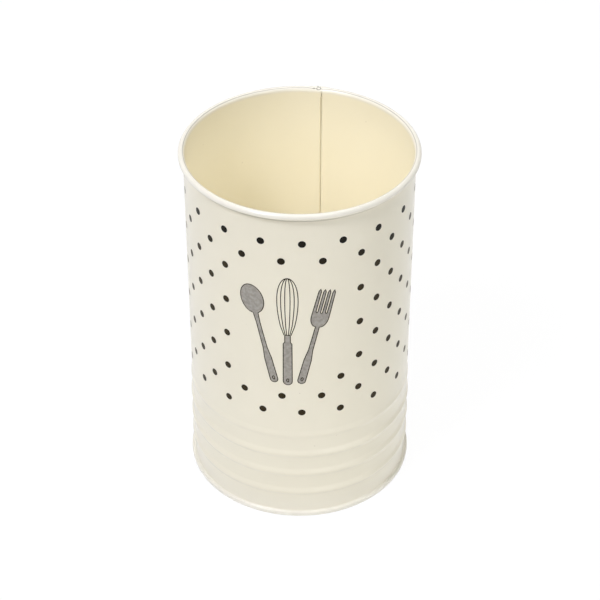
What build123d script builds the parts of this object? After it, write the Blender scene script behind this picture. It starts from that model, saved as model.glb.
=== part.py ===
"""A sheet-metal utensil holder: an open can with a wired rim, a lock seam, rolled ribs and a seamed base.

Millimetres. +Z is up, the origin is the centre of the foot, and the front of the can faces -Y.
"""

import os
from math import asin, atan2, cos, degrees, radians, sin, sqrt

from build123d import *
from build123d.topology import SkipClean

# Overall size
total_height = 178.0
body_radius = 53.1

# Sheet, and the gap left between its folded layers
sheet = 0.4
layer_gap = 0.1

# Rim: the sheet is necked in, then curled around a wire that sits nearly over the wall
curl_radius = 1.5
curl_overhang = 2.25
neck_radius = 3.0
wire_gap = 0.1
wire_joint = 0.6
wire_joint_bearing = 130.0

# Rolled ribs above the foot: the top one stands less proud than the others
rib_count = 4
first_rib_height = 15.3
rib_pitch = 12.0
rib_half_width = 2.8
rib_proud = 0.75
top_rib_proud = 0.4
rib_run_out = 2.5

# Lock seam down the back: where it folds back, how wide it is, and where it stops
seam_bearing = 79.2
lock_width = 7.0
lock_step_width = 2.0
lock_bottom_gap = 0.5
lock_top_gap = 0.6
edge_gap = 0.3

# Double seam round the foot
foot_height = 2.6
foot_corner = 0.7

# Base panel, pressed up into a low crown
panel_height = 3.4
panel_corner = 1.0
crown_radius = 41.0
crown_slope = 2.0
crown_height = 0.8
crown_corner = 1.5

# Middles of the folded layers
layer = sheet + layer_gap
fold_reach = layer + sheet / 2
wall_mid = body_radius - sheet / 2
foot_hook_mid = wall_mid + 2 * layer
foot_turn = (wall_mid + layer, sheet + layer_gap + fold_reach)
foot_crest = (foot_hook_mid, foot_height - fold_reach)

# Neck and curl
curl_mid = curl_radius - sheet / 2
curl_centre = (body_radius + curl_overhang - curl_radius, total_height - curl_radius)
neck_offset = curl_centre[0] - wall_mid + neck_radius
neck_drop = sqrt((neck_radius + curl_mid) ** 2 - neck_offset**2)
neck_height = curl_centre[1] - neck_drop
neck_angle = degrees(atan2(neck_drop, neck_offset))
tail_angle = 90 + degrees(asin((curl_centre[0] - body_radius - layer_gap) / curl_radius))

# Lock seam, between the foot and the neck
lock_bottom = foot_height + lock_bottom_gap
lock_height = neck_height - lock_top_gap - lock_bottom
lock_turn = lock_width - fold_reach


def bearing_at(distance):
    """Angle in plan, from +X, of a place this far round the wall from the fold of the lock seam."""
    return seam_bearing + degrees(distance / wall_mid)


def in_plan(distance, layers):
    """Point in plan this far round the wall from the fold, and this many layers out from the wall."""
    bearing = radians(bearing_at(distance))
    radius = wall_mid + layers * layer
    return (radius * cos(bearing), radius * sin(bearing))


def layer_arc(start, end, layers):
    """Arc that follows the wall from one distance round it to another, some layers out."""
    sweep = bearing_at(end) - bearing_at(start)
    CenterArc((0, 0), wall_mid + layers * layer, bearing_at(start), sweep)


def rib_midline(height, proud):
    """Middle of the sheet over one rolled rib: a round crest between two hollow flanks."""
    low_flank = (wall_mid + proud / 2, height - rib_half_width / 2)
    crest = (wall_mid + proud, height)
    high_flank = (wall_mid + proud / 2, height + rib_half_width / 2)
    TangentArc((wall_mid, height - rib_half_width), low_flank, tangent=(0, 1))
    TangentArc(crest, low_flank, tangent=(0, -1))
    TangentArc(crest, high_flank, tangent=(0, 1))
    TangentArc((wall_mid, height + rib_half_width), high_flank, tangent=(0, -1))


def wall_midline(ribs):
    """Middle of the sheet from the hook at the foot, up the wall over these ribs, to the curl's tail."""
    Line((foot_hook_mid, foot_crest[1] + layer_gap), (foot_hook_mid, foot_turn[1]))
    CenterArc(foot_turn, layer, 0, -180)
    reached = foot_turn[1]
    for height, proud in ribs:
        Line((wall_mid, reached), (wall_mid, height - rib_half_width))
        rib_midline(height, proud)
        reached = height + rib_half_width
    Line((wall_mid, reached), (wall_mid, neck_height))
    CenterArc((wall_mid - neck_radius, neck_height), neck_radius, 0, neck_angle)
    CenterArc(curl_centre, curl_mid, 180 + neck_angle, -180 - neck_angle - tail_angle)


# Body wall: one sheet, open at the seam, ribbed but for a plain stretch along either edge
rib_heights = [first_rib_height + number * rib_pitch for number in range(rib_count)]
rolled_ribs = [(height, rib_proud) for height in rib_heights[:-1]] + [(rib_heights[-1], top_rib_proud)]
left_edge = bearing_at(-lock_step_width / 2 + edge_gap / 2)
ribs_start = bearing_at(lock_width + rib_run_out)
ribs_end = bearing_at(-lock_step_width - rib_run_out) + 360
right_edge = bearing_at(-lock_step_width / 2 - edge_gap / 2) + 360
cap_angle = degrees(sheet / wall_mid)

stretches = [
    (left_edge, ribs_start, []),
    (ribs_start, ribs_end, rolled_ribs),
    (ribs_end, right_edge, []),
]

# No face is merged with the next, so that none runs all round between the ribs
with SkipClean(), BuildPart() as body_wall:
    for start, end, ribs in stretches:
        with BuildSketch(Plane.XZ.rotated((0, 0, start))):
            with BuildLine():
                wall_midline(ribs)
            trace(line_width=sheet)
        revolve(axis=Axis.Z, revolution_arc=end - start, clean=False)

    # The ribs are hollow behind, so each of their ends is closed on the plain side
    for start in (ribs_start - cap_angle, ribs_end):
        with BuildSketch(Plane.XZ.rotated((0, 0, start))):
            for height, proud in rolled_ribs:
                with BuildLine():
                    rib_midline(height, proud)
                    Line((wall_mid, height + rib_half_width), (wall_mid, height - rib_half_width))
                make_face()
        revolve(axis=Axis.Z, revolution_arc=cap_angle, clean=False)

    # Between the foot and the neck both edges are cut back, to make room for the lock
    with BuildSketch(Plane.XY.offset(lock_bottom)):
        with BuildLine():
            layer_arc(-lock_step_width, 0, 0)
        trace(line_width=2 * sheet)
    extrude(amount=lock_height, mode=Mode.SUBTRACT, clean=False)

    # Lock, first edge: it folds out over the seam's right-hand side and hooks back
    with BuildSketch(Plane.XY.offset(lock_bottom)):
        with BuildLine():
            CenterArc(in_plan(0, 1), layer, seam_bearing + 180, 180)
            layer_arc(0, lock_turn - layer_gap, 2)
        trace(line_width=sheet)
    extrude(amount=lock_height, clean=False)

    # Lock, second edge: it steps out over the first fold, then hooks in behind the first edge
    with BuildSketch(Plane.XY.offset(lock_bottom)):
        with BuildLine():
            turn_bearing = bearing_at(lock_turn)
            step_bearing = bearing_at(-lock_step_width)
            step_out = in_plan(-lock_step_width, 0)
            step_top = in_plan(0, 3)
            step_half = ((step_out[0] + step_top[0]) / 2, (step_out[1] + step_top[1]) / 2)
            along_out = (-sin(radians(step_bearing)), cos(radians(step_bearing)))
            along_top = (sin(radians(seam_bearing)), -cos(radians(seam_bearing)))
            TangentArc(step_out, step_half, tangent=along_out)
            TangentArc(step_top, step_half, tangent=along_top)
            layer_arc(0, lock_turn, 3)
            CenterArc(in_plan(lock_turn, 2), layer, turn_bearing, 180)
            layer_arc(lock_turn, layer_gap, 1)
        trace(line_width=sheet)
    extrude(amount=lock_height, clean=False)
body_wall.part.label = "body_wall"

# Rim wire: a steel ring inside the curl, with a butt joint
wire_radius = curl_radius - sheet - wire_gap
with BuildPart() as rim_wire:
    with BuildSketch(Plane.XZ.rotated((0, 0, wire_joint_bearing))):
        with Locations(curl_centre):
            Circle(wire_radius)
    revolve(axis=Axis.Z, revolution_arc=360 - degrees(wire_joint / curl_centre[0]))
rim_wire.part.label = "rim_wire"

# Base pan: a crowned panel whose edge runs down inside the wall, then around and over the wall's hook
inner_mid = wall_mid - layer
outer_mid = wall_mid + 3 * layer
panel_mid = panel_height - sheet / 2
crown_mid = panel_mid + crown_height
cover_end = foot_turn[1] - layer_gap

with BuildPart() as base_pan:
    with BuildSketch(Plane.XZ):
        with BuildLine():
            FilletPolyline(
                (0, crown_mid),
                (crown_radius, crown_mid),
                (crown_radius + crown_slope, panel_mid),
                (inner_mid, panel_mid),
                (inner_mid, sheet / 2),
                (outer_mid, sheet / 2),
                (outer_mid, foot_crest[1]),
                radius=[crown_corner, crown_corner, panel_corner, foot_corner, foot_corner],
            )
            CenterArc(foot_crest, layer, 0, 180)
            Line((wall_mid + layer, foot_crest[1]), (wall_mid + layer, cover_end))
        trace(line_width=sheet)
    revolve(axis=Axis.Z)
base_pan.part.label = "base_pan"

os.makedirs("parts", exist_ok=True)
for piece in (body_wall, rim_wire, base_pan):
    export_step(piece.part, f"parts/{piece.part.label}.step")
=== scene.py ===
"""Looks of a cream enamelled tin utensil holder with a dotted print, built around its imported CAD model.

Metres. +Z is up, the origin is the centre of the foot, and the printed front faces -Y.
"""

from math import asin, atan2, ceil, copysign, cos, dist, hypot, pi, radians, sin, sqrt, tan

import bmesh
import bpy
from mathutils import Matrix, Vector


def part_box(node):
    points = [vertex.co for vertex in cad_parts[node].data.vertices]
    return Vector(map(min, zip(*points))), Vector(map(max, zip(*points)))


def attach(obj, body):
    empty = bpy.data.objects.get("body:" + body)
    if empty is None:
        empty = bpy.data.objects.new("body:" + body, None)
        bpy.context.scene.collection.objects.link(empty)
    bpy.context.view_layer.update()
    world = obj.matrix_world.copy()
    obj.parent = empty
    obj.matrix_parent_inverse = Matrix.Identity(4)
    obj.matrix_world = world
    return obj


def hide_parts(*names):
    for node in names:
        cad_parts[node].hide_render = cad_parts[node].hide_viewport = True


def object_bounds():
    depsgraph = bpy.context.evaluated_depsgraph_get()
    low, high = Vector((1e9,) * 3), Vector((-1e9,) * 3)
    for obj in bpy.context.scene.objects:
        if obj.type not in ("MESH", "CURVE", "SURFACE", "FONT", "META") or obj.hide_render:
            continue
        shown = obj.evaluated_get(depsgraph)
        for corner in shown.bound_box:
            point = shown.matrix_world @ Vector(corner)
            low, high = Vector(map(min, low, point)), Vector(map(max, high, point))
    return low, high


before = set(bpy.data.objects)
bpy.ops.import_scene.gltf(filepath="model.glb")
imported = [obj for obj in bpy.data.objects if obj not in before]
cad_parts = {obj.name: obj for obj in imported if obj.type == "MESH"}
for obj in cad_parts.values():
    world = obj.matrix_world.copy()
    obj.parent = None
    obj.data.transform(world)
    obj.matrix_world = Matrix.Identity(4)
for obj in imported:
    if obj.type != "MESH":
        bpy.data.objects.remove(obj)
cad_low, cad_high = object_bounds()

# Sizes that the frame gives
MM = 0.001
total_height = cad_high.z
rim_radius = min(cad_high.x, cad_high.y, -cad_low.x, -cad_low.y)
hem_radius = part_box("base_pan")[1].x

# Sheet, and the gap between its folded layers
sheet = 0.4 * MM
layer_gap = 0.1 * MM
layer = sheet + layer_gap
fold_reach = layer + sheet / 2

# Wall, neck and curl
curl_radius = 1.5 * MM
curl_overhang = 2.25 * MM
neck_radius = 3.0 * MM
wall_radius = rim_radius - curl_overhang
wall_mid = wall_radius - sheet / 2
way_round = 2 * pi * wall_mid
curl_mid = curl_radius - sheet / 2
curl_out = curl_overhang - curl_radius + sheet / 2
curl_height = total_height - curl_radius
neck_offset = curl_out + neck_radius
neck_drop = sqrt((neck_radius + curl_mid) ** 2 - neck_offset**2)
neck_height = curl_height - neck_drop
neck_angle = atan2(neck_drop, neck_offset)
tail_angle = pi / 2 + asin((curl_out - sheet / 2 - layer_gap) / curl_radius)

# Where the wall's outside runs up out of the light, under the curl
crevice_low = curl_height - 3.3 * MM
crevice_high = curl_height - 2.4 * MM

# Rolled ribs
rib_count = 4
first_rib_height = 15.3 * MM
rib_pitch = 12.0 * MM
rib_half_width = 2.8 * MM
rib_skew = 0.15
rib_proud = 0.75 * MM
top_rib_proud = 0.4 * MM
rib_run_out = 6.0 * MM

# Lock seam down the back
seam_bearing = radians(79.7)
lock_width = 7.0 * MM
lock_step_width = 2.0 * MM
lock_turn = lock_width - fold_reach
butt_place = -1.0 * MM
butt_gap = 0.3 * MM
rim_butt_gap = 0.08 * MM

# Enamel pooled inside, from below the neck up to the curl's innermost line
pool_start = neck_height - 7 * MM
pool_depth = curl_radius - curl_out - sheet / 2

# The rim's prouder stretch, where the lock's layers end in the curl
swell = 0.7 * MM
swell_start = -6.0 * MM
swell_rise = 5.0 * MM
swell_fall = 7.0 * MM
swell_end = 7.0 * MM

# Painted shade round the lump at the rim's joint, where the seam's layers roll into the curl: above it, to
# its left and in a ring round it, each a centre and its half sizes
lump_shade_top = ((8.75 * MM, 54.5 * MM, 178.0 * MM), (0.7 * MM, 1.1 * MM, 0.6 * MM))
lump_shade_left = ((6.8 * MM, 52.72 * MM, 177.5 * MM), (0.85 * MM, 0.45 * MM, 0.35 * MM))
lump_shade_ring = ((9.1 * MM, 52.6 * MM, 177.4 * MM), (1.35 * MM, 0.85 * MM, 0.85 * MM))

# Double seam round the foot
foot_height = 2.6 * MM
foot_corner = 0.7 * MM
lock_bottom = foot_height + 0.5 * MM
lock_top = neck_height - 2.4 * MM
hook_turn = sheet + layer_gap + fold_reach
hook_crest = foot_height - fold_reach

# How finely round surfaces are divided
ring_steps = 360
rib_rows = 12


# Small helpers for curves and meshes


def arc(centre, radius, start, sweep, steps):
    """Points along an arc, both ends included; radius is a number, or one for each direction."""
    across, along = radius if isinstance(radius, tuple) else (radius, radius)
    turns = [start + sweep * step / steps for step in range(steps + 1)]
    return [(centre[0] + across * cos(turn), centre[1] + along * sin(turn)) for turn in turns]


def spread(start, end, steps):
    """Evenly spaced values from start to end, both included."""
    return [start + (end - start) * step / steps for step in range(steps + 1)]


def mixed(start, end, share):
    """The value this share of the way from start to end."""
    return start + (end - start) * share


def eased(value):
    """A smooth ramp from 0 to 1."""
    value = min(max(value, 0), 1)
    return value * value * (3 - 2 * value)


def rounded_path(corners, radii, steps=6):
    """An open path through these corners, each inner one rounded to its radius."""
    path = [corners[0]]
    for before, corner, after, radius in zip(corners, corners[1:-1], corners[2:], radii):
        corner = Vector(corner)
        back = (Vector(before) - corner).normalized()
        on = (Vector(after) - corner).normalized()
        half_turn = back.angle(on) / 2
        centre = corner + (back + on).normalized() * radius / sin(half_turn)
        first = corner + back * radius / tan(half_turn) - centre
        last = corner + on * radius / tan(half_turn) - centre
        start = atan2(first.y, first.x)
        sweep = (atan2(last.y, last.x) - start + pi) % (2 * pi) - pi
        path += arc(centre, radius, start, sweep, steps)
    return path + [corners[-1]]


def new_piece(name, points, faces):
    """A mesh object at the origin, with all its faces smooth."""
    mesh = bpy.data.meshes.new(name)
    mesh.from_pydata(points, [], faces)
    mesh.shade_smooth()
    piece = bpy.data.objects.new(name, mesh)
    bpy.context.scene.collection.objects.link(piece)
    return piece


def freeze(piece, crease=radians(40)):
    """Turns the piece's modifiers into a plain mesh, with creases where faces meet at more than this."""
    plan = bpy.context.evaluated_depsgraph_get()
    made = bpy.data.meshes.new_from_object(piece.evaluated_get(plan))
    piece.modifiers.clear()
    piece.data = made
    made.name = piece.name
    made.shade_smooth()
    made.set_sharp_from_angle(angle=crease)
    return piece


def thicken(piece, thickness):
    """Gives a mid-surface its sheet's thickness, half to either side."""
    solid = piece.modifiers.new("Sheet", "SOLIDIFY")
    solid.thickness = thickness
    solid.offset = 0
    solid.use_even_offset = True


# Small helpers for node trees


def new_tree(name, kind, inputs, outputs):
    """A node tree with these named inputs and outputs, each a (name, socket type, default)."""
    tree = bpy.data.node_groups.new(name, kind)
    for label, socket_type, value in inputs:
        socket = tree.interface.new_socket(label, in_out="INPUT", socket_type=socket_type)
        if value is not None:
            socket.default_value = value
    for label, socket_type in outputs:
        tree.interface.new_socket(label, in_out="OUTPUT", socket_type=socket_type)
    given = tree.nodes.new("NodeGroupInput").outputs
    result = tree.nodes.new("NodeGroupOutput").inputs
    return tree, given, result


def feed(tree, socket, value):
    """Links an output to this input, or sets its plain value."""
    if isinstance(value, bpy.types.NodeSocket):
        tree.links.new(value, socket)
    elif value is not None:
        socket.default_value = value


def put(tree, kind, inputs=(), **settings):
    """A new node with these settings, and these inputs by name or by number."""
    node = tree.nodes.new(kind)
    for label, value in settings.items():
        setattr(node, label, value)
    for label, value in dict(inputs).items():
        feed(tree, node.inputs[label], value)
    return node


def maths(tree, operation, *terms):
    """The output of one Math node."""
    return put(tree, "ShaderNodeMath", enumerate(terms), operation=operation).outputs[0]


def ramp(tree, value, low, high, to_low=0.0, to_high=1.0):
    """The value's smooth way from one number to another while it passes from low to high."""
    span = {"Value": value, "From Min": low, "From Max": high, "To Min": to_low, "To Max": to_high}
    return put(tree, "ShaderNodeMapRange", span, interpolation_type="SMOOTHSTEP").outputs["Result"]


def object_height(tree):
    """How high the shaded place lies on the object."""
    place = put(tree, "ShaderNodeTexCoord").outputs["Object"]
    return put(tree, "ShaderNodeSeparateXYZ", {"Vector": place}).outputs["Z"]


def finish_tree(tree, socket, geometry, material):
    """Ends a geometry tree: instances made real, and the material set."""
    real = put(tree, "GeometryNodeRealizeInstances", {"Geometry": geometry}).outputs[0]
    finished = put(tree, "GeometryNodeSetMaterial", {"Geometry": real, "Material": material})
    feed(tree, socket, finished.outputs[0])


def run_tree(piece, tree, values):
    """Puts a geometry tree on the piece, with its named inputs set."""
    modifier = piece.modifiers.new(tree.name, "NODES")
    modifier.node_group = tree
    for item in tree.interface.items_tree:
        if item.in_out == "INPUT" and item.name in values:
            modifier[item.identifier] = values[item.name]


# Shader groups that more than one finish uses


def orange_peel_group():
    """The faint dimples and slow swell of a sprayed and baked coat, as a height."""
    inputs = [
        ("Dimple Size", "NodeSocketFloat", 1.6 * MM),
        ("Swell Size", "NodeSocketFloat", 14 * MM),
        ("Swell Share", "NodeSocketFloat", 0.5),
    ]
    tree, given, result = new_tree("Orange Peel", "ShaderNodeTree", inputs, [("Height", "NodeSocketFloat")])
    place = put(tree, "ShaderNodeTexCoord").outputs["Object"]
    heights = []
    for size in (given["Dimple Size"], given["Swell Size"]):
        scale = maths(tree, "DIVIDE", 1.0, size)
        noise = put(tree, "ShaderNodeTexNoise", {"Vector": place, "Scale": scale, "Detail": 1.0})
        heights.append(noise.outputs["Fac"])
    slow = maths(tree, "MULTIPLY", heights[1], given["Swell Share"])
    feed(tree, result["Height"], maths(tree, "ADD", heights[0], slow))
    return tree


def coat_tone_group():
    """A slow change of a coat's tone from place to place, and a mask of its few specks."""
    inputs = [
        ("Patch Size", "NodeSocketFloat", 30 * MM),
        ("Speck Size", "NodeSocketFloat", 0.5 * MM),
        ("Speck Share", "NodeSocketFloat", 0.2),
    ]
    outputs = [("Tone", "NodeSocketFloat"), ("Specks", "NodeSocketFloat")]
    tree, given, result = new_tree("Coat Tone", "ShaderNodeTree", inputs, outputs)
    place = put(tree, "ShaderNodeTexCoord").outputs["Object"]
    patch_scale = maths(tree, "DIVIDE", 1.0, given["Patch Size"])
    patch = put(tree, "ShaderNodeTexNoise", {"Vector": place, "Scale": patch_scale, "Detail": 3.0})
    feed(tree, result["Tone"], ramp(tree, patch.outputs["Fac"], 0.3, 0.7))
    speck_scale = maths(tree, "DIVIDE", 0.1, given["Speck Size"])
    cells = put(tree, "ShaderNodeTexVoronoi", {"Vector": place, "Scale": speck_scale})
    chance = put(tree, "ShaderNodeSeparateColor", {"Color": cells.outputs["Color"]}).outputs[0]
    chosen = maths(tree, "LESS_THAN", chance, given["Speck Share"])
    near = ramp(tree, cells.outputs["Distance"], 0.05, 0.12, 1.0, 0.0)
    feed(tree, result["Specks"], maths(tree, "MULTIPLY", chosen, near))
    return tree


def rub_wear_group():
    """Where a standing thing rubs: a broken band over its lowest edge, as a mask."""
    inputs = [
        ("Worn Height", "NodeSocketFloat", 0.3 * MM),
        ("Grain Size", "NodeSocketFloat", 1.2 * MM),
        ("Amount", "NodeSocketFloat", 0.6),
    ]
    tree, given, result = new_tree("Rub Wear", "ShaderNodeTree", inputs, [("Worn", "NodeSocketFloat")])
    place = put(tree, "ShaderNodeTexCoord").outputs["Object"]
    low = ramp(tree, object_height(tree), 0.0, given["Worn Height"], 1.0, 0.0)
    scale = maths(tree, "DIVIDE", 1.0, given["Grain Size"])
    noise = put(tree, "ShaderNodeTexNoise", {"Vector": place, "Scale": scale, "Detail": 4.0})
    broken = ramp(tree, noise.outputs["Fac"], 0.42, 0.58)
    worn = maths(tree, "MULTIPLY", maths(tree, "MULTIPLY", low, broken), given["Amount"])
    feed(tree, result["Worn"], worn)
    return tree


orange_peel = orange_peel_group()
coat_tone = coat_tone_group()
rub_wear = rub_wear_group()


# Finishes


def new_material(name):
    """A material, its tree, its shader and a function that places a group in it."""
    material = bpy.data.materials.new(name)
    material.use_nodes = True
    tree = material.node_tree
    shader = tree.nodes["Principled BSDF"]

    def group(group_tree, **values):
        node = put(tree, "ShaderNodeGroup", node_tree=group_tree)
        for label, value in values.items():
            node.inputs[label.replace("_", " ")].default_value = value
        return node.outputs

    return material, tree, shader, group


def mixed_colour(tree, share, first, second):
    """A mix of two colours, by a share that changes over the surface."""
    # The Mix node names its sockets alike for every kind of data, so its colours go by number
    factor, colour_a, colour_b, mixed_out = 0, 6, 7, 2
    inputs = {factor: share, colour_a: first, colour_b: second}
    return put(tree, "ShaderNodeMix", inputs, data_type="RGBA").outputs[mixed_out]


def bumped(tree, shader, height, distance):
    """Feeds the shader's normal from a height, which is this large where it is 1."""
    bump = put(tree, "ShaderNodeBump", {"Height": height, "Distance": distance, "Strength": 1.0})
    feed(tree, shader.inputs["Normal"], bump.outputs["Normal"])


def outside_mask(tree, radius):
    """Where the sheet faces outwards."""
    return ramp(tree, radius, wall_mid - 0.05 * MM, wall_mid + 0.05 * MM)


def radius_and_height(tree):
    """How far the shaded place is from the can's axis, and how high."""
    place = put(tree, "ShaderNodeTexCoord").outputs["Object"]
    x, y, z = put(tree, "ShaderNodeSeparateXYZ", {"Vector": place}).outputs
    flat = put(tree, "ShaderNodeCombineXYZ", {"X": x, "Y": y}).outputs[0]
    return put(tree, "ShaderNodeVectorMath", {0: flat}, operation="LENGTH").outputs["Value"], z


def inside_mask(tree):
    """Where the sheet faces the inside of the can, below the rim."""
    radius, height = radius_and_height(tree)
    within = maths(tree, "SUBTRACT", 1.0, outside_mask(tree, radius))
    over_base = ramp(tree, height, 3.0 * MM, 3.3 * MM)
    under_rim = ramp(tree, height, neck_height, curl_height, 1.0, 0.0)
    return maths(tree, "MULTIPLY", maths(tree, "MULTIPLY", within, over_base), under_rim)


def paler_and_lit_mask(tree):
    """The rim, from its neck up, and the foot, painted paler: on the rim partly a paler coat and partly
    painted reflection, on the hem painted light, and low on the wall painted light thrown up from the floor.
    """
    height = object_height(tree)
    # Partly a paler coat on the rim, partly painted reflection of the bright surroundings.
    rim = ramp(tree, height, neck_height + 0.4 * MM, neck_height + 2.0 * MM)
    # Painted light on the top of the hem.
    hem = ramp(tree, height, foot_height, foot_height + 0.5 * MM, 0.6, 0.0)
    # Painted light thrown up from the floor: the wall paler towards the foot.
    foot = ramp(tree, height, 2 * MM, 20 * MM, 0.4, 0.0)
    return maths(tree, "ADD", rim, maths(tree, "ADD", hem, foot))


def mark_mask(tree, mark, hollow):
    """A mark's place, as a round spot or as a ring."""
    centre, size = mark
    heart, body, edge = 0.45, 0.75, 1.1
    place = put(tree, "ShaderNodeTexCoord").outputs["Object"]
    offset = put(tree, "ShaderNodeVectorMath", {0: place, 1: centre}, operation="SUBTRACT").outputs[0]
    share = put(tree, "ShaderNodeVectorMath", {0: offset, 1: size}, operation="DIVIDE").outputs[0]
    away = put(tree, "ShaderNodeVectorMath", {0: share}, operation="LENGTH").outputs["Value"]
    spot = ramp(tree, away, body, edge, 1.0, 0.0)
    return maths(tree, "MULTIPLY", spot, ramp(tree, away, heart, body)) if hollow else spot


def crevice_mask(tree):
    """Where the wall's outside runs up under the curl, out of the light."""
    radius, height = radius_and_height(tree)
    outside = outside_mask(tree, radius)
    on_wall = ramp(tree, radius, wall_radius + 0.05 * MM, wall_radius + 0.3 * MM, 1.0, 0.0)
    high = ramp(tree, height, crevice_low, crevice_high)
    return maths(tree, "MULTIPLY", maths(tree, "MULTIPLY", outside, on_wall), high)


def cream_enamel():
    """Cream enamel on steel, rubbed at the foot, with painted light and shade in its colour: a yellower tint
    inside for light bounced round the can, a rim and foot painted paler, partly as painted light, and painted
    shade round the lump at the rim's joint and under the curl.
    """
    material, tree, shader, group = new_material("cream_enamel")
    tone = group(coat_tone, Patch_Size=35 * MM, Speck_Size=0.35 * MM, Speck_Share=0.05)
    wear = group(rub_wear, Worn_Height=0.25 * MM, Grain_Size=1.5 * MM, Amount=0.8)
    peel = group(orange_peel, Dimple_Size=1.4 * MM, Swell_Size=16 * MM, Swell_Share=2.0)
    outside = mixed_colour(tree, tone["Tone"], (0.838, 0.786, 0.618, 1), (0.852, 0.800, 0.632, 1))
    # A yellower tint inside: painted light, for light bounced round and round inside the can.
    inside = mixed_colour(tree, tone["Tone"], (0.848, 0.786, 0.598, 1), (0.861, 0.800, 0.613, 1))
    # Paler: partly a paler coat on the rim, partly painted light on the rim and low on the wall towards the
    # foot.
    paler = mixed_colour(tree, tone["Tone"], (0.835, 0.799, 0.686, 1), (0.850, 0.814, 0.700, 1))
    cream = mixed_colour(tree, inside_mask(tree), outside, inside)
    cream = mixed_colour(tree, paler_and_lit_mask(tree), cream, paler)

    # Painted shade round the lump at the rim's joint: a dark spot above it, a dark dash to its left and a
    # dark ring round it.
    lump_shade = (0.24, 0.235, 0.18, 1)
    for mark, depth, hollow in ((lump_shade_top, 0.95, False), (lump_shade_left, 0.8, False), (lump_shade_ring, 1.0, True)):
        share = maths(tree, "MULTIPLY", mark_mask(tree, mark, hollow), depth)
        cream = mixed_colour(tree, share, cream, lump_shade)

    # The first colour is painted shade, laid under the curl where the wall runs up out of the light; the
    # specks and the bare steel rubbed through at the foot are the coat's own.
    crevice_shade, speck, bare_steel = (0.20, 0.17, 0.12, 1), (0.45, 0.38, 0.27, 1), (0.42, 0.42, 0.41, 1)
    crevice_shaded = mixed_colour(tree, maths(tree, "MULTIPLY", crevice_mask(tree), 0.5), cream, crevice_shade)
    specked = mixed_colour(tree, maths(tree, "MULTIPLY", tone["Specks"], 0.35), crevice_shaded, speck)
    rubbed = mixed_colour(tree, wear["Worn"], specked, bare_steel)
    feed(tree, shader.inputs["Base Color"], rubbed)
    feed(tree, shader.inputs["Roughness"], ramp(tree, tone["Tone"], 0.0, 1.0, 0.34, 0.40))
    feed(tree, shader.inputs["Metallic"], maths(tree, "MULTIPLY", wear["Worn"], 0.8))
    shader.inputs["Coat Weight"].default_value = 0.55
    shader.inputs["Coat Roughness"].default_value = 0.16
    bumped(tree, shader, peel["Height"], 0.006 * MM)
    return material


def printing_ink(name, light, dark, roughness):
    """Satin ink over the enamel, thinner in places and darker towards the top of the print."""
    material, tree, shader, group = new_material(name)
    tone = group(coat_tone, Patch_Size=1.6 * MM, Speck_Size=0.3 * MM, Speck_Share=0.1)
    peel = group(orange_peel, Dimple_Size=0.5 * MM, Swell_Size=4 * MM, Swell_Share=0.5)
    thin = mixed_colour(tree, tone["Tone"], dark, light)
    # The ink is mixed towards black going up the top of the print.
    darker_from, darker_to = 143 * MM, 158 * MM
    darker_up_top = ramp(tree, object_height(tree), darker_from, darker_to, 0.0, 0.8)
    black = (0, 0, 0, 1)
    darkened = mixed_colour(tree, darker_up_top, thin, black)
    worn = mixed_colour(tree, maths(tree, "MULTIPLY", tone["Specks"], 0.4), darkened, light)
    feed(tree, shader.inputs["Base Color"], worn)
    feed(tree, shader.inputs["Roughness"], ramp(tree, tone["Tone"], 0.0, 1.0, roughness, roughness + 0.08))
    shader.inputs["Specular IOR Level"].default_value = 0.12
    shader.inputs["Sheen Weight"].default_value = 0.45
    shader.inputs["Sheen Tint"].default_value = (1, 0.93, 0.78, 1)
    shader.inputs["Sheen Roughness"].default_value = 0.3
    bumped(tree, shader, peel["Height"], 0.003 * MM)
    return material


def drawn_steel():
    """Drawn steel wire: fine lines and a little dull patina."""
    material, tree, shader, group = new_material("drawn_steel")
    tone = group(coat_tone, Patch_Size=5 * MM, Speck_Size=0.4 * MM, Speck_Share=0.3)
    peel = group(orange_peel, Dimple_Size=0.12 * MM, Swell_Size=1 * MM, Swell_Share=0.4)
    steel = mixed_colour(tree, tone["Tone"], (0.50, 0.50, 0.51, 1), (0.62, 0.62, 0.63, 1))
    dull = mixed_colour(tree, maths(tree, "MULTIPLY", tone["Specks"], 0.5), steel, (0.24, 0.20, 0.16, 1))
    feed(tree, shader.inputs["Base Color"], dull)
    feed(tree, shader.inputs["Roughness"], ramp(tree, tone["Tone"], 0.0, 1.0, 0.28, 0.42))
    shader.inputs["Metallic"].default_value = 1.0
    bumped(tree, shader, peel["Height"], 0.004 * MM)
    return material


enamel = cream_enamel()
dark_ink = printing_ink("dark_ink", (0.035, 0.023, 0.006, 1), (0.023, 0.015, 0.003, 1), 0.5)
grey_ink = printing_ink("grey_ink", (0.400, 0.375, 0.325, 1), (0.300, 0.280, 0.240, 1), 0.42)
wire_steel = drawn_steel()


# Wall: one sheet, folded as the tinsmith folds it, then thickened


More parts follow.
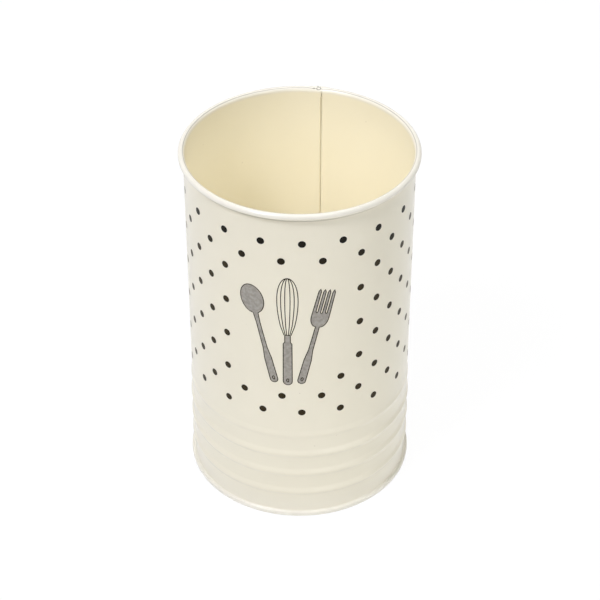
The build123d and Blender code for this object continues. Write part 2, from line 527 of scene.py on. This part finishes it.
def wall_rows():
    """The sheet's places from the hook at its foot up to the end of its curl.

    Each is how far out it lies, how high, how much of the lock seam is made there, and its share of the curl.
    """
    hook_out = 2 * layer
    rows = [(hook_out, hook_crest + layer_gap, 0, 0)]
    rows += [(out, height, 0, 0) for out, height in arc((layer, hook_turn), layer, 0, -pi, 8)]
    rows += [(0, mixed(foot_height, lock_bottom, share), eased(share), 0) for share in (0, 0.5)]
    heights = [lock_bottom]
    for number in range(rib_count):
        middle = first_rib_height + number * rib_pitch
        heights += spread(middle - rib_half_width, middle + rib_half_width, rib_rows)
    heights += spread(heights[-1], lock_top, 6)[1:]
    rows += [(0, height, 1, 0) for height in heights]
    plain = neck_height - lock_top
    rows += [(0, lock_top + plain * share, 1 - eased(share), 0) for share in (0.25, 0.5, 0.75)]
    neck = arc((-neck_radius, neck_height), neck_radius, 0, neck_angle, 5)
    rows += [(out, height, 0, 0) for out, height in neck]
    curl = arc((curl_out, curl_height), curl_mid, pi + neck_angle, -pi - neck_angle - tail_angle, 24)[1:]
    rows += [(out, height, 0, (step + 1) / len(curl)) for step, (out, height) in enumerate(curl)]
    return rows


def wall_columns():
    """The sheet's places from one hooked edge round the can to the other.

    Each is its distance from the seam's fold and its layer, where the lock is made and where it isn't.
    """
    left_edge = butt_place + butt_gap / 2
    right_edge = butt_place - butt_gap / 2
    hook = [(distance, 1) for distance in spread(layer_gap, lock_turn, 8)]
    hook += [(lock_turn + x, 2 + y / layer) for x, y in arc((0, 0), layer, -pi / 2, pi, 8)[1:]]
    hook += [(distance, 3) for distance in spread(lock_turn, 0, 8)[1:]]
    columns = [(place, None) for place in hook]
    for share in spread(0, 1, 8)[1:]:
        locked = (-lock_step_width * share, 3 * (1 - eased(share)))
        columns.append((locked, (mixed(right_edge, -lock_step_width, share), 0)))
    for distance in spread(-lock_step_width, -way_round, ring_steps)[1:]:
        columns.append(((distance, 0), (distance, 0)))
    fold = [(-way_round + x, 1 + y / layer) for x, y in arc((0, 0), layer, -pi / 2, -pi, 8)[1:]]
    for step, locked in enumerate(fold[:4]):
        columns.append((locked, (-way_round + left_edge * (step + 1) / 4, 0)))
    back = [(-way_round + distance, 2) for distance in spread(0, lock_turn - layer_gap, 8)[1:]]
    columns += [(place, None) for place in fold[4:] + back]
    return columns


def shorter_way(distance):
    """A distance round the wall, the shorter way round."""
    return (distance + way_round / 2) % way_round - way_round / 2


def rim_swell(distance):
    """How much further out the curl lies here than elsewhere, because the seam's layers end in it."""
    distance = shorter_way(distance)
    rise = eased((distance - swell_start) / swell_rise)
    fall = eased((swell_end - distance) / swell_fall)
    return swell * rise * fall


def drawn_in(distance):
    """A distance from the seam's fold, moved where the curl draws the butt joint's edges together."""
    reach = 2 * MM
    from_butt = shorter_way(distance - butt_place)
    near = max(0, 1 - (abs(from_butt) - butt_gap / 2) / reach)
    return distance - copysign(near * (butt_gap - rim_butt_gap) / 2, from_butt)


def sheet_point(row, column):
    """Where the sheet's middle lies at this row and column, or None where the sheet is cut away."""
    out, height, locked, curled = row
    in_lock, in_butt = column
    if in_butt is None:
        if locked < 1:
            return None
        in_butt = in_lock
    distance = mixed(in_butt[0], in_lock[0], locked)
    layers = mixed(in_butt[1], in_lock[1], locked)
    if curled:
        distance = drawn_in(distance)
        out += rim_swell(distance) * eased(3 * curled)
    bearing = seam_bearing + distance / wall_mid
    radius = wall_mid + layers * layer + out
    return (radius * cos(bearing), radius * sin(bearing), height)


def rolled_ribs_tree():
    """Ribs rolled into the wall, which run out to nothing on either side of the seam."""
    number = "NodeSocketFloat"
    inputs = [
        ("Geometry", "NodeSocketGeometry", None),
        ("First Height", number, first_rib_height),
        ("Pitch", number, rib_pitch),
        ("Count", number, rib_count),
        ("Half Width", number, rib_half_width),
        ("Skew", number, rib_skew),
        ("Proud", number, rib_proud),
        ("Top Proud", number, top_rib_proud),
        ("Wall Radius", number, wall_mid),
        ("Seam Bearing", number, seam_bearing),
        ("Plain Left", number, lock_width),
        ("Plain Right", number, lock_step_width),
        ("Run Out", number, rib_run_out),
        ("Material", "NodeSocketMaterial", None),
    ]
    tree, given, result = new_tree(
        "Rolled Ribs", "GeometryNodeTree", inputs, [("Geometry", "NodeSocketGeometry")]
    )
    place = put(tree, "GeometryNodeInputPosition").outputs[0]
    x, y, z = put(tree, "ShaderNodeSeparateXYZ", {"Vector": place}).outputs
    from_seam = maths(tree, "SUBTRACT", maths(tree, "ARCTAN2", y, x), given["Seam Bearing"])
    from_seam = maths(tree, "WRAP", from_seam, pi, -pi)
    distance = maths(tree, "MULTIPLY", from_seam, given["Wall Radius"])
    left_end = maths(tree, "ADD", given["Plain Left"], given["Run Out"])
    left = ramp(tree, distance, given["Plain Left"], left_end)
    right_end = maths(tree, "ADD", given["Plain Right"], given["Run Out"])
    right = ramp(tree, maths(tree, "MULTIPLY", distance, -1.0), given["Plain Right"], right_end)
    kept = maths(tree, "MAXIMUM", left, right)

    steps_up = maths(tree, "DIVIDE", maths(tree, "SUBTRACT", z, given["First Height"]), given["Pitch"])
    last = maths(tree, "SUBTRACT", given["Count"], 1.0)
    rib = maths(tree, "MINIMUM", maths(tree, "MAXIMUM", maths(tree, "ROUND", steps_up), 0.0), last)
    middle = maths(tree, "MULTIPLY_ADD", rib, given["Pitch"], given["First Height"])
    place = maths(tree, "DIVIDE", maths(tree, "SUBTRACT", z, middle), given["Half Width"])
    past_crest = maths(tree, "ADD", place, given["Skew"])
    above = maths(tree, "DIVIDE", past_crest, maths(tree, "ADD", 1.0, given["Skew"]))
    below = maths(tree, "DIVIDE", past_crest, maths(tree, "SUBTRACT", given["Skew"], 1.0))
    away = maths(tree, "MINIMUM", maths(tree, "MAXIMUM", above, below), 1.0)
    wave = maths(tree, "COSINE", maths(tree, "MULTIPLY", away, pi))
    bulge = maths(tree, "MULTIPLY_ADD", wave, 0.5, 0.5)
    is_top = maths(tree, "GREATER_THAN", rib, maths(tree, "SUBTRACT", last, 0.5))
    less = maths(tree, "SUBTRACT", given["Top Proud"], given["Proud"])
    proud = maths(tree, "MULTIPLY_ADD", is_top, less, given["Proud"])
    out = maths(tree, "MULTIPLY", maths(tree, "MULTIPLY", bulge, proud), kept)

    flat = put(tree, "ShaderNodeCombineXYZ", {"X": x, "Y": y}).outputs[0]
    outward = put(tree, "ShaderNodeVectorMath", {0: flat}, operation="NORMALIZE").outputs[0]
    offset = put(tree, "ShaderNodeVectorMath", {0: outward, "Scale": out}, operation="SCALE").outputs[0]
    moved = put(tree, "GeometryNodeSetPosition", {"Geometry": given["Geometry"], "Offset": offset})
    finish_tree(tree, result["Geometry"], moved.outputs[0], given["Material"])
    return tree


def pool_enamel(wall):
    """Brings the wall's inner face in below the curl, where the coat pools and evens out the neck."""
    for vertex in wall.data.vertices:
        x, y, z = vertex.co
        radius = hypot(x, y)
        if pool_start < z < curl_height and radius < wall_mid:
            pooled = wall_mid - sheet / 2 - pool_depth * eased((z - pool_start) / (curl_height - pool_start))
            share = min(1, pooled / radius)
            vertex.co = (x * share, y * share, z)
    return wall


def enamelled_wall():
    """The can's wall, with its hook, ribs, lock seam, neck and curl."""
    rows, columns = wall_rows(), wall_columns()
    points, number = [], {}
    for r, row in enumerate(rows):
        for c, column in enumerate(columns):
            point = sheet_point(row, column)
            if point is not None:
                number[r, c] = len(points)
                points.append(point)
    faces = []
    for r in range(len(rows) - 1):
        for c in range(len(columns) - 1):
            corners = [(r, c), (r + 1, c), (r + 1, c + 1), (r, c + 1)]
            if all(corner in number for corner in corners):
                faces.append([number[corner] for corner in corners])
    piece = new_piece("enamelled_wall", points, faces)
    run_tree(piece, rolled_ribs_tree(), {"Material": enamel})
    thicken(piece, sheet)
    return pool_enamel(freeze(piece))


# Base: one pressed disc, whose edge is seamed over the wall's hook


def turned(section):
    """The points of a section turned round Z, ring by ring."""
    turns = [2 * pi * step / ring_steps for step in range(ring_steps)]
    return [(radius * cos(turn), radius * sin(turn), height) for radius, height in section for turn in turns]


def turned_sheet(name, section, thickness, material):
    """A sheet spun round Z from a section that starts on the axis."""
    points = [(0, 0, section[0][1])] + turned(section[1:])
    faces = []
    for step in range(ring_steps):
        after = (step + 1) % ring_steps
        faces.append((0, 1 + step, 1 + after))
        for ring in range(len(section) - 2):
            start = 1 + ring * ring_steps
            outer = start + ring_steps
            faces.append((start + step, outer + step, outer + after, start + after))
    piece = new_piece(name, points, faces)
    piece.data.materials.append(material)
    thicken(piece, thickness)
    return freeze(piece)


def enamelled_base():
    """The base pan: a low crown, a countersink, and the seam's outer layers."""
    panel_height = 3.4 * MM
    panel_corner = 1.0 * MM
    crown_height = 0.8 * MM
    crown_radius = 41.0 * MM
    crown_slope = 2.0 * MM
    crown_corner = 1.5 * MM
    panel = panel_height - sheet / 2
    crown = panel + crown_height
    inner = wall_mid - layer
    outer = hem_radius - sheet / 2
    corners = [
        (0, crown),
        (crown_radius, crown),
        (crown_radius + crown_slope, panel),
        (inner, panel),
        (inner, sheet / 2),
        (outer, sheet / 2),
        (outer, hook_crest),
    ]
    section = rounded_path(corners, [crown_corner, crown_corner, panel_corner, foot_corner, foot_corner])
    section += arc((outer - layer, hook_crest), layer, 0, pi, 8)[1:]
    section.append((outer - 2 * layer, hook_turn - layer_gap))
    return turned_sheet("enamelled_base", section, sheet, enamel)


def foot_fillet():
    """Enamel pooled in the crevice between the wall and the top of the foot's seam."""
    sunk = 0.06 * MM
    reach = 0.8 * MM
    climb = 1.0 * MM
    crest = foot_height - sunk
    section = [(wall_radius - sunk, hook_crest), (wall_radius + reach, hook_crest)]
    section += arc((wall_radius + reach, crest + climb), (reach + sunk, climb), -pi / 2, -pi / 2, 6)
    points = turned(section)
    faces = []
    count = len(section)
    for ring in range(count):
        for step in range(ring_steps):
            after = (step + 1) % ring_steps
            first, second = ring * ring_steps, (ring + 1) % count * ring_steps
            faces.append((first + step, first + after, second + after, second + step))
    piece = new_piece("foot_fillet", points, faces)
    piece.data.materials.append(enamel)
    return piece


def butt_enamel():
    """Enamel that closes the butt joint of the sheet's edges from the outside, above and below the lock."""
    backing = 0.1 * MM
    rows = [row for row in wall_rows() if row[2] < 1]
    strips = 3
    points = []
    for out, height, _, curled in rows:
        reach = rim_butt_gap if curled else butt_gap
        for place in spread(butt_place - 1.5 * reach, butt_place + 1.5 * reach, strips):
            moved = out if curled else out + backing
            points.append(sheet_point((moved, height, 0, 0), ((0, 0), (place, 0))))
    faces = []
    for r in range(len(rows) - 1):
        if rows[r][1] < total_height / 2 < rows[r + 1][1]:
            continue
        for c in range(strips):
            first = r * (strips + 1) + c
            above = first + strips + 1
            faces.append((first, first + 1, above + 1, above))
    piece = new_piece("butt_enamel", points, faces)
    piece.data.materials.append(enamel)
    thicken(piece, backing)
    return freeze(piece)


wall = enamelled_wall()
base = enamelled_base()
fillet = foot_fillet()
butt = butt_enamel()


# Print: thin films of ink that lie on the wall


def ink_film_tree():
    """Gives flat shapes in the XZ plane the thickness of a film of ink and lays them round the wall."""
    inputs = [
        ("Flat Shapes", "NodeSocketGeometry", None),
        ("Wall Radius", "NodeSocketFloat", wall_radius),
        ("Film Thickness", "NodeSocketFloat", 0.02 * MM),
        ("Sunk", "NodeSocketFloat", 0.01 * MM),
        ("Material", "NodeSocketMaterial", None),
    ]
    tree, given, result = new_tree("Ink Film", "GeometryNodeTree", inputs, [("Film", "NodeSocketGeometry")])
    down = put(tree, "ShaderNodeCombineXYZ", {"Y": given["Sunk"]}).outputs[0]
    flat = put(tree, "GeometryNodeSetPosition", {"Geometry": given["Flat Shapes"], "Offset": down}).outputs[0]
    depth = maths(tree, "ADD", given["Film Thickness"], given["Sunk"])
    outward = put(tree, "ShaderNodeCombineXYZ", {"Y": maths(tree, "MULTIPLY", depth, -1.0)}).outputs[0]
    raised = put(tree, "GeometryNodeExtrudeMesh", {"Mesh": flat, "Offset": outward, "Individual": False})
    under = put(tree, "GeometryNodeFlipFaces", {"Mesh": flat}).outputs[0]
    both = put(tree, "GeometryNodeJoinGeometry")
    tree.links.new(raised.outputs["Mesh"], both.inputs[0])
    tree.links.new(under, both.inputs[0])
    closed = put(tree, "GeometryNodeMergeByDistance", {"Geometry": both.outputs[0], "Distance": 0.002 * MM})
    place = put(tree, "GeometryNodeInputPosition").outputs[0]
    x, y, z = put(tree, "ShaderNodeSeparateXYZ", {"Vector": place}).outputs
    turn = maths(tree, "DIVIDE", x, given["Wall Radius"])
    radius = maths(tree, "SUBTRACT", given["Wall Radius"], y)
    across = maths(tree, "MULTIPLY", radius, maths(tree, "SINE", turn))
    back = maths(tree, "MULTIPLY", radius, maths(tree, "MULTIPLY", maths(tree, "COSINE", turn), -1.0))
    wrapped = put(tree, "ShaderNodeCombineXYZ", {"X": across, "Y": back, "Z": z}).outputs[0]
    laid = put(tree, "GeometryNodeSetPosition", {"Geometry": closed.outputs[0], "Position": wrapped})
    finish_tree(tree, result["Film"], laid.outputs[0], given["Material"])
    return tree


def dot_lattice_tree(film):
    """A staggered lattice of round dots round the wall, open where the picture is and at the seam."""
    number = "NodeSocketFloat"
    inputs = [
        ("Geometry", "NodeSocketGeometry", None),
        ("Columns", "NodeSocketInt", 18),
        ("Rows", "NodeSocketInt", 11),
        ("Dot Radius", number, 1.78 * MM),
        ("Dot Sides", "NodeSocketInt", 28),
        ("Top Height", number, 161.7 * MM),
        ("Row Pitch", number, 9.63 * MM),
        ("First Bearing", number, radians(1.08)),
        ("Wall Radius", number, wall_radius),
        ("Window Left", number, -1.75),
        ("Window Right", number, 1.25),
        ("Window Foot Right", number, 0.75),
        ("Window Top Row", number, 2.0),
        ("Window Foot Row", number, 8.0),
        ("Seam Start", number, radians(164.0)),
        ("Seam End", number, radians(180.0)),
        ("Film Thickness", number, 0.02 * MM),
        ("Material", "NodeSocketMaterial", None),
    ]
    tree, given, result = new_tree(
        "Dot Lattice", "GeometryNodeTree", inputs, [("Geometry", "NodeSocketGeometry")]
    )
    count = maths(tree, "MULTIPLY", given["Columns"], given["Rows"])
    points = put(tree, "GeometryNodePoints", {"Count": count}).outputs[0]
    index = put(tree, "GeometryNodeInputIndex").outputs[0]
    row = maths(tree, "FLOOR", maths(tree, "DIVIDE", index, given["Columns"]))
    in_row = maths(tree, "MODULO", index, given["Columns"])
    stagger = maths(tree, "MULTIPLY", maths(tree, "MODULO", row, 2.0), 0.5)
    half_count = maths(tree, "MULTIPLY", given["Columns"], 0.5)
    column = maths(tree, "ADD", maths(tree, "SUBTRACT", in_row, half_count), stagger)
    pitch = maths(tree, "DIVIDE", 2 * pi, given["Columns"])
    bearing = maths(tree, "MULTIPLY_ADD", column, pitch, given["First Bearing"])
    across = maths(tree, "MULTIPLY", bearing, given["Wall Radius"])
    drop = maths(tree, "MULTIPLY", row, given["Row Pitch"])
    height = maths(tree, "SUBTRACT", given["Top Height"], drop)
    place = put(tree, "ShaderNodeCombineXYZ", {"X": across, "Z": height}).outputs[0]
    lattice = put(tree, "GeometryNodeSetPosition", {"Geometry": points, "Position": place}).outputs[0]

    def between(value, low, high):
        above = maths(tree, "GREATER_THAN", value, low)
        return maths(tree, "MULTIPLY", above, maths(tree, "LESS_THAN", value, high))

    top_row = maths(tree, "SUBTRACT", given["Window Top Row"], 0.5)
    foot_row = maths(tree, "SUBTRACT", given["Window Foot Row"], 0.5)
    after_foot = maths(tree, "ADD", foot_row, 1.0)
    main_columns = between(column, given["Window Left"], given["Window Right"])
    main_window = maths(tree, "MULTIPLY", main_columns, between(row, top_row, foot_row))
    foot_columns = between(column, given["Window Left"], given["Window Foot Right"])
    foot_window = maths(tree, "MULTIPLY", foot_columns, between(row, foot_row, after_foot))
    whole_turn = maths(tree, "WRAP", bearing, 2 * pi, 0.0)
    at_seam = between(whole_turn, given["Seam Start"], given["Seam End"])
    open_places = maths(tree, "MAXIMUM", maths(tree, "MAXIMUM", main_window, foot_window), at_seam)
    dropped = {"Geometry": lattice, "Selection": open_places}
    kept = put(tree, "GeometryNodeDeleteGeometry", dropped, domain="POINT").outputs[0]

    circle_inputs = {"Vertices": given["Dot Sides"], "Radius": given["Dot Radius"]}
    disc = put(tree, "GeometryNodeMeshCircle", circle_inputs, fill_type="TRIANGLE_FAN").outputs[0]
    upright = put(tree, "GeometryNodeTransform", {"Geometry": disc, "Rotation": (pi / 2, 0, 0)}).outputs[0]
    stamped = put(tree, "GeometryNodeInstanceOnPoints", {"Points": kept, "Instance": upright}).outputs[0]
    flat = put(tree, "GeometryNodeRealizeInstances", {"Geometry": stamped}).outputs[0]
    laid = put(tree, "GeometryNodeGroup", node_tree=film)
    feed(tree, laid.inputs["Flat Shapes"], flat)
    for label in ("Wall Radius", "Film Thickness", "Material"):
        feed(tree, laid.inputs[label], given[label])
    finish_tree(tree, result["Geometry"], laid.outputs[0], given["Material"])
    return tree


ink_film = ink_film_tree()


def printed_dots():
    """The dots of the print."""
    piece = new_piece("printed_dots", [], [])
    run_tree(piece, dot_lattice_tree(ink_film), {"Material": dark_ink})
    return freeze(piece)


# Utensils of the print, each drawn upright about its own axis
ferrule_height = 29 * MM


def mirrored(half):
    """A closed outline from its right half, which runs from the top of the axis to its bottom."""
    return half + [(-across, up) for across, up in reversed(half[1:-1])]


def placed(path, foot, lean):
    """A path moved to where its utensil stands, leaning this much to the right."""
    moved = []
    for across, up in path:
        to_right = across * cos(lean) + up * sin(lean)
        upwards = up * cos(lean) - across * sin(lean)
        moved.append((foot[0] + to_right, foot[1] + upwards))
    return moved


def stepped(path, step, closed=False):
    """The path with more points, none further apart than this step."""
    ends = path[1:] + path[:1] if closed else path[1:]
    points = []
    for start, end in zip(path, ends):
        count = max(1, ceil(dist(start, end) / step))
        shares = [number / count for number in range(count)]
        points += [(mixed(start[0], end[0], share), mixed(start[1], end[1], share)) for share in shares]
    return points if closed else points + [path[-1]]


def heel(radius):
    """The right half of a handle's round end, of this half width."""
    return arc((0, radius), radius, 0, -pi / 2, 6)


def spoon_half():
    """Right half of a cooking spoon: a round-shouldered bowl, a thin neck and a long handle."""
    bowl = arc((0, 47 * MM), (5.6 * MM, 7.8 * MM), pi / 2, -0.93 * pi, 22)
    grip = [(0.9 * MM, 34 * MM), (1.0 * MM, 20 * MM), (1.7 * MM, 14 * MM), (1.8 * MM, 3 * MM)]
    return bowl + grip + heel(1.8 * MM)


def fork_half():
    """Right half of a four-tined fork."""
    tines = [(0, 41 * MM), (0.45 * MM, 41.6 * MM), (0.5 * MM, 53 * MM), (1.1 * MM, 54.5 * MM)]
    tines += [(1.7 * MM, 53 * MM), (1.75 * MM, 42 * MM), (2.2 * MM, 41.2 * MM), (2.65 * MM, 42 * MM)]
    tines += [(2.7 * MM, 53 * MM), (3.3 * MM, 54.5 * MM), (3.9 * MM, 53 * MM), (4.1 * MM, 40 * MM)]
    shoulder = arc((0.9 * MM, 39 * MM), (3.2 * MM, 5.5 * MM), 0, -pi / 2, 8)
    grip = [(1.0 * MM, 20 * MM), (1.7 * MM, 14 * MM), (1.8 * MM, 3 * MM)]
    return tines + shoulder + grip + heel(1.8 * MM)


def whisk_handle_half():
    """Right half of a whisk's handle, with the ferrule that its wires come out of."""
    ferrule = [(0, ferrule_height), (1.3 * MM, ferrule_height), (1.3 * MM, 25 * MM)]
    grip = [(2.0 * MM, 24 * MM), (2.1 * MM, 3 * MM)]
    return ferrule + grip + heel(2.1 * MM)


def whisk_wire(width):
    """One of the whisk's loops, out of the ferrule and back, this far out at its widest."""
    loop_height = 32 * MM
    wire = []
    for turn in spread(0, pi, 36):
        up = ferrule_height + loop_height * abs(sin(turn)) ** 0.75
        across = width * cos(turn) * mixed(0.22, 1, abs(sin(turn)) ** 0.5)
        wire.append((across, up))
    return wire


def filled(outline, cell):
    """A flat closed shape, cut across at steps so that it can follow the wall."""
    shape = bmesh.new()
    corners = [shape.verts.new((across, 0, up)) for across, up in outline]
    face = shape.faces.new(corners)
    face.normal_update()
    if face.normal.y > 0:
        face.normal_flip()
    bmesh.ops.triangulate(shape, faces=shape.faces[:])
    low = min(across for across, up in outline)
    high = max(across for across, up in outline)
    for place in spread(low, high, ceil((high - low) / cell))[1:-1]:
        everything = shape.verts[:] + shape.edges[:] + shape.faces[:]
        bmesh.ops.bisect_plane(shape, geom=everything, plane_co=(place, 0, 0), plane_no=(1, 0, 0))
    return shape


def stroked(path, width, closed):
    """A flat band of even width along a path."""
    shape = bmesh.new()
    sides = []
    count = len(path)
    for step in range(count):
        before = path[step - 1] if closed or step else path[step]
        after = path[(step + 1) % count] if closed or step < count - 1 else path[step]
        along = Vector((after[0] - before[0], after[1] - before[1])).normalized()
        here = Vector(path[step])
        aside = Vector((-along.y, along.x)) * width / 2
        left, right = here + aside, here - aside
        sides.append((shape.verts.new((left.x, 0, left.y)), shape.verts.new((right.x, 0, right.y))))
    for step in range(count if closed else count - 1):
        first, second = sides[step], sides[(step + 1) % count]
        shape.faces.new((first[1], second[1], second[0], first[0]))
    return shape


def flat_piece(name, shapes):
    """One object from several flat shapes."""
    whole = bpy.data.meshes.new(name)
    joined = bmesh.new()
    for shape in shapes:
        part = bpy.data.meshes.new("part")
        shape.to_mesh(part)
        shape.free()
        joined.from_mesh(part)
        bpy.data.meshes.remove(part)
    joined.to_mesh(whole)
    joined.free()
    piece = bpy.data.objects.new(name, whole)
    bpy.context.scene.collection.objects.link(piece)
    return piece


def printed_utensils():
    """A spoon, a whisk and a fork that fan out over one another's feet, in grey with dark outlines."""
    cell = 0.9 * MM
    line = 0.42 * MM
    hole = arc((0, 2.6 * MM), (0.5 * MM, 1.0 * MM), 0, 2 * pi, 12)[:-1]
    places = {
        "spoon": ((-11.5 * MM, 83 * MM), -radians(13)),
        "whisk": ((-5.5 * MM, 82 * MM), 0.0),
        "fork": ((0.5 * MM, 83 * MM), radians(13)),
    }
    halves = {"spoon": spoon_half(), "whisk": whisk_handle_half(), "fork": fork_half()}
    greys, darks = [], []
    for utensil, (foot, lean) in places.items():
        outline = placed(mirrored(halves[utensil]), foot, lean)
        greys.append(filled(outline, cell))
        darks.append(stroked(stepped(outline, cell, closed=True), line, closed=True))
        darks.append(stroked(placed(hole, foot, lean), line, closed=True))
    for width in (7.2 * MM, 4.6 * MM, 1.8 * MM):
        darks.append(stroked(stepped(placed(whisk_wire(width), *places["whisk"]), cell), line, closed=False))
    grey = flat_piece("printed_greys", greys)
    dark = flat_piece("printed_outlines", darks)
    run_tree(grey, ink_film, {"Material": grey_ink})
    run_tree(dark, ink_film, {"Material": dark_ink, "Film Thickness": 0.03 * MM})
    return freeze(grey), freeze(dark)


dots = printed_dots()
print_greys, print_outlines = printed_utensils()

# Wire in the curl: the frame's own solid, in steel
rim_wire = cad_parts["rim_wire"]
rim_wire.data.materials.clear()
rim_wire.data.materials.append(wire_steel)


# Stage: a white floor, soft light and the camera


def background_rays(tree):
    """1 on the rays that show the background: from the camera, reflected or let through."""
    rays = put(tree, "ShaderNodeLightPath").outputs
    seen = maths(tree, "MAXIMUM", rays["Is Camera Ray"], rays["Is Glossy Ray"])
    return maths(tree, "MAXIMUM", seen, rays["Is Transmission Ray"])


def white_floor():
    """A white floor that shows as plain white, yet keeps some of the object's shadow."""
    half = 3.0
    shadow_share = 0.07
    corners = [(-half, -half, 0), (half, -half, 0), (half, half, 0), (-half, half, 0)]
    piece = new_piece("floor", corners, [(0, 1, 2, 3)])
    material = bpy.data.materials.new("white_floor")
    material.use_nodes = True
    tree = material.node_tree
    tree.nodes.remove(tree.nodes["Principled BSDF"])
    paint = put(tree, "ShaderNodeBsdfDiffuse", {"Color": (0.95, 0.95, 0.95, 1)})
    glow = put(tree, "ShaderNodeEmission", {"Color": (1, 1, 1, 1), "Strength": 1.02})
    share = maths(tree, "MULTIPLY", background_rays(tree), 1.0 - shadow_share)
    mix = put(tree, "ShaderNodeMixShader", {0: share})
    tree.links.new(paint.outputs[0], mix.inputs[1])
    tree.links.new(glow.outputs[0], mix.inputs[2])
    tree.links.new(mix.outputs[0], tree.nodes["Material Output"].inputs["Surface"])
    piece.data.materials.append(material)
    return piece


def white_world(strength):
    """Even light from all round, which shows as plain white."""
    world = bpy.data.worlds.new("white_world")
    world.use_nodes = True
    tree = world.node_tree
    level = maths(tree, "MULTIPLY_ADD", background_rays(tree), 1.0 - strength, strength)
    feed(tree, tree.nodes["Background"].inputs["Color"], (1, 1, 1, 1))
    feed(tree, tree.nodes["Background"].inputs["Strength"], level)
    bpy.context.scene.world = world


def around(bearing, elevation, reach, centre):
    """A place this far from a centre; a bearing of 0 is the front, and it grows to the right."""
    flat = reach * cos(elevation)
    return Vector(centre) + Vector((sin(bearing) * flat, -cos(bearing) * flat, reach * sin(elevation)))


def area_lamp(name, place, target, size, power, colour=(1, 1, 1)):
    """A soft lamp of this power in watts that points at a place; the camera doesn't see it."""
    lamp = bpy.data.lights.new(name, "AREA")
    lamp.shape = "RECTANGLE"
    lamp.size, lamp.size_y = size if isinstance(size, tuple) else (size, size)
    lamp.energy = power
    lamp.color = colour
    holder = bpy.data.objects.new(name, lamp)
    holder.location = place
    holder.rotation_euler = (Vector(target) - Vector(place)).to_track_quat("-Z", "Y").to_euler()
    holder.visible_camera = False
    bpy.context.scene.collection.objects.link(holder)
    return holder


def photo_lamps():
    """A cool key from the front left, white fills from far off, low strips in front and fills in the can."""
    far = 2.0
    middle = (0, 0, 90 * MM)
    key_colour = (0.99, 1.0, 1.12)
    area_lamp("key", around(radians(-45), radians(54), far, middle), middle, 0.5, 19.4, key_colour)
    for name, bearing, elevation, power in (
        ("top_fill", 0, 80, 12.5),
        ("back_fill", 180, 62, 8.0),
        ("right_fill", 90, 30, 2.8),
    ):
        area_lamp(name, around(radians(bearing), radians(elevation), far, middle), middle, 1.2, power)

    near = 320 * MM
    foot = (0, 0, 30 * MM)
    above_foot = (0, 0, 60 * MM)
    strip = (300 * MM, 50 * MM)
    for name, bearing, power in (("front_strip", 0, 0.026), ("right_strip", 40, 0.113)):
        area_lamp(name, around(radians(bearing), 0, near, foot), above_foot, strip, power)

    within = 48 * MM
    depth = (0, 0, 145 * MM)
    above_depth = (0, 0, 149 * MM)
    for name, bearing, power in (("left_inside", -60, 0.012), ("front_inside", 0, 0.018)):
        area_lamp(name, around(radians(bearing), 0, within, depth), above_depth, 30 * MM, power)


def photo_camera():
    """The camera at the photograph's viewing angle."""
    elevation = radians(37.17)
    distance = 895.3 * MM
    aim = Vector((0.15 * MM, 0, 91.1 * MM))
    data = bpy.data.cameras.new("camera")
    data.sensor_width = 36.0
    data.lens = 111.57
    camera = bpy.data.objects.new("camera", data)
    camera.location = aim + Vector((0, -cos(elevation), sin(elevation))) * distance
    camera.rotation_euler = (aim - camera.location).to_track_quat("-Z", "Y").to_euler()
    bpy.context.scene.collection.objects.link(camera)
    bpy.context.scene.camera = camera


floor = white_floor()
white_world(0.2)
photo_lamps()
photo_camera()
bpy.context.scene.view_settings.view_transform = "Standard"

# How the pieces belong to the frame
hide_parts("body_wall")
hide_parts("base_pan")
for piece, slot in (
    (wall, "cream_enamel"),
    (base, "cream_enamel"),
    (fillet, "cream_enamel"),
    (butt, "cream_enamel"),
    (dots, "print_ink"),
    (print_outlines, "print_ink"),
    (print_greys, "print_grey"),
):
    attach(piece, "root")
